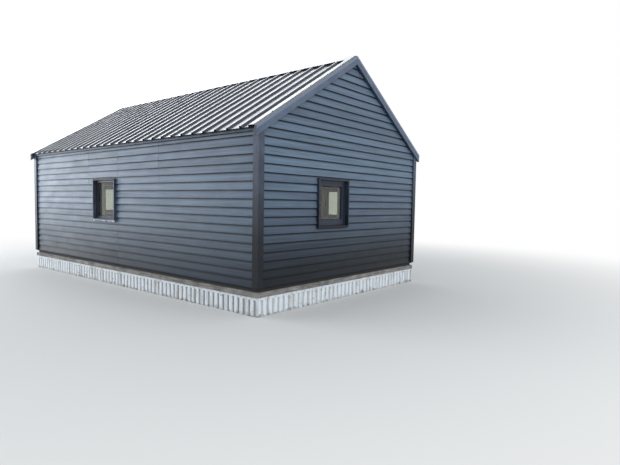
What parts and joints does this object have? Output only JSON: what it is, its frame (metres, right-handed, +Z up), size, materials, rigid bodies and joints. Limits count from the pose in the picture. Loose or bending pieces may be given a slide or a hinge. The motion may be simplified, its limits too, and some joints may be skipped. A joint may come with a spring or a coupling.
{
  "type": "workshop shed",
  "caption": "Timber-framed workshop shed with lapped board cladding, a ribbed steel gable roof, small square windows and a white ribbed steel plinth.",
  "frame": {"origin": "middle of the footprint at the lowest point of the plinth", "axes": "+X along the ridge towards the gable with the window seen in the picture, -Y towards the long wall with a window, +Z up"},
  "size_m": [9.27, 5.77, 5.0718],
  "materials": {
    "cladding_board": "satin stained board, fine horizontal grain",
    "trim_board": "satin painted board",
    "roof_steel": "satin coated steel sheet",
    "plinth_steel": "white coated steel sheet, dirty at the foot",
    "sill_timber": "weathered sawn timber",
    "frame_timber": "planed construction timber",
    "wall_panel": "board-lined timber panel, black membrane outside",
    "window_frame": "foiled window profile",
    "glass": "clear sealed unit",
    "door_board": "painted door",
    "handle_steel": "brushed",
    "concrete": "cast concrete block"
  },
  "bodies": {
    "root": {"barge_boards_back": "trim_board", "barge_boards_front": "trim_board", "cladding_back": "cladding_board", "cladding_front": "cladding_board", "cladding_left": "cladding_board", "cladding_right": "cladding_board", "corner_trims": "trim_board", "door_frame": "trim_board", "door_handle": "handle_steel", "door_leaf": "door_board", "fascia_boards": "trim_board", "floor_deck": "frame_timber", "floor_joists": "frame_timber", "foundation_piers": "concrete", "plinth_cap": "plinth_steel", "plinth_sheet_back": "plinth_steel", "plinth_sheet_front": "plinth_steel", "plinth_sheet_left": "plinth_steel", "plinth_sheet_right": "plinth_steel", "rafters": "frame_timber", "ridge_board": "frame_timber", "ridge_cap": "roof_steel", "roof_battens": "frame_timber", "roof_sheet_back": "roof_steel", "roof_sheet_front": "roof_steel", "sill_beams_long": "sill_timber", "sill_beams_short": "sill_timber", "verge_flashing_left": "roof_steel", "verge_flashing_right": "roof_steel", "wall_back": "wall_panel", "wall_front": "wall_panel", "wall_left": "wall_panel", "wall_right": "wall_panel", "window_casings": "trim_board", "window_frame_back": "window_frame", "window_frame_front": "window_frame", "window_frame_left": "window_frame", "window_frame_right": "window_frame", "window_glass_back": "glass", "window_glass_front": "glass", "window_glass_left": "glass", "window_glass_right": "glass", "window_sashes": "window_frame"}
  },
  "joints": []
}
